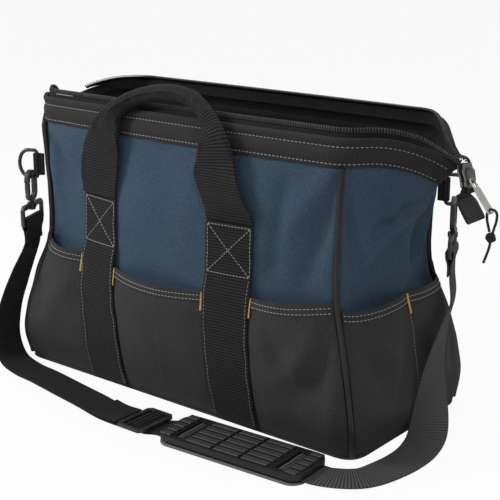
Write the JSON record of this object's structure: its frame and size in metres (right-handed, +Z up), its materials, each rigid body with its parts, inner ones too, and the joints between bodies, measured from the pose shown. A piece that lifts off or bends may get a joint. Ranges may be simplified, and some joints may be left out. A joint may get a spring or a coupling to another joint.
{
  "type": "zippered tool bag",
  "caption": "Soft open-top tool bag with a boxed base, outer pockets, a zipped mouth pinched at both ends, carry handles, and a padded shoulder strap on snap hooks.",
  "frame": {"origin": "centre of the base panel's underside, on the surface the bag stands on", "axes": "+Z up, +X along the mouth towards the end with the zip slider, -Y towards the side whose handle stands up"},
  "size_m": [0.5867, 0.3275, 0.328],
  "materials": {
    "blue_fabric": "matt woven",
    "charcoal_fabric": "matt woven",
    "collar_fabric": "matt woven",
    "webbing": "ribbed",
    "piping": "satin",
    "nickel": "satin",
    "black_metal": "satin",
    "rubber": "matt",
    "grey_foam": "matt",
    "board": "matt"
  },
  "bodies": {
    "bag": {"front_wall": "blue_fabric", "back_wall": "blue_fabric", "right_end_wall": "blue_fabric", "left_end_wall": "blue_fabric", "base_panel": "charcoal_fabric", "front_pockets": "charcoal_fabric", "back_pockets": "charcoal_fabric", "right_end_pockets": "charcoal_fabric", "left_end_pockets": "charcoal_fabric", "base_board": "board", "front_collar": "collar_fabric", "back_collar": "collar_fabric", "piping_front_right": "piping", "piping_back_right": "piping", "piping_back_left": "piping", "piping_front_left": "piping", "front_lower_strip_left": "webbing", "front_lower_strip_right": "webbing", "front_upper_strip_left": "webbing", "front_upper_strip_right": "webbing", "back_lower_strip_left": "webbing", "back_lower_strip_right": "webbing", "back_upper_strip_left": "webbing", "back_upper_strip_right": "webbing", "front_zip_tape": "webbing", "back_zip_tape": "webbing", "right_end_tab": "webbing", "left_end_tab": "webbing", "ring_tab_right": "webbing", "ring_tab_left": "webbing", "front_zip_teeth": "black_metal", "back_zip_teeth": "black_metal"},
    "front_handle": {"front_handle": "webbing"},
    "back_handle": {"back_handle": "webbing"},
    "zip_slider": {"zip_slider": "nickel"},
    "zip_puller": {"zip_puller": "nickel", "pull_cord": "webbing", "pull_cord_knot": "webbing", "pull_cord_tail": "webbing"},
    "ring_right": {"d_ring_right": "black_metal"},
    "ring_left": {"d_ring_left": "black_metal"},
    "gate_right": {"hook_gate_right": "black_metal"},
    "gate_left": {"hook_gate_left": "black_metal"},
    "pad": {"shoulder_pad": "rubber", "shoulder_pad_backing": "grey_foam"},
    "strap": {"snap_hook_right": "black_metal", "snap_hook_left": "black_metal", "strap_loop_right": "black_metal", "strap_loop_left": "black_metal", "strap_webbing_left": "webbing", "strap_webbing_middle": "webbing", "strap_webbing_right": "webbing", "strap_webbing_end": "webbing", "strap_adjuster": "black_metal"}
  },
  "joints": [
    {"name": "front_handle_swing", "type": "hinge", "parent": "bag", "child": "front_handle", "pos_m": [0, -0.10121, 0.20715], "axis": [1, 0, 0], "range_deg": [0, 80]},
    {"name": "back_handle_swing", "type": "hinge", "parent": "bag", "child": "back_handle", "pos_m": [0, 0.10052, 0.20715], "axis": [1, 0, 0], "range_deg": [0, 74]},
    {"name": "zip_slide", "type": "slide", "parent": "bag", "child": "zip_slider", "axis": [0.1839, 0, -0.9829], "range_m": [0, 0.002]},
    {"name": "puller_flip", "type": "hinge", "parent": "zip_slider", "child": "zip_puller", "pos_m": [0.2792, 0, 0.25953], "axis": [0, -1, 0], "range_deg": [0, 110]},
    {"name": "ring_tilt_right", "type": "hinge", "parent": "bag", "child": "ring_right", "pos_m": [0.20427, 0.08759, 0.224], "axis": [0, 0, 1], "range_deg": [-5, 5]},
    {"name": "ring_tilt_left", "type": "hinge", "parent": "bag", "child": "ring_left", "pos_m": [-0.20427, -0.08759, 0.224], "axis": [0, 0, 1], "range_deg": [-5, 5]},
    {"name": "strap_lift", "type": "hinge", "parent": "bag", "child": "strap", "pos_m": [0.21254, 0.09114, 0.209], "axis": [-0.9191, -0.3941, 0], "range_deg": [0, 80]},
    {"name": "gate_open_right", "type": "hinge", "parent": "strap", "child": "gate_right", "pos_m": [0.20919, 0.09895, 0.19245], "axis": [0.9191, 0.3941, 0], "range_deg": [0, 25], "stiffness_Nm_per_rad": 0.05, "springref_deg": -5.73},
    {"name": "gate_open_left", "type": "hinge", "parent": "strap", "child": "gate_left", "pos_m": [-0.20919, -0.09895, 0.19245], "axis": [-0.9191, -0.3941, 0], "range_deg": [0, 25], "stiffness_Nm_per_rad": 0.05, "springref_deg": -5.73},
    {"name": "pad_slide", "type": "slide", "parent": "strap", "child": "pad", "axis": [0.9982, 0.06, 0], "range_m": [-0.008, 0.008]}
  ]
}
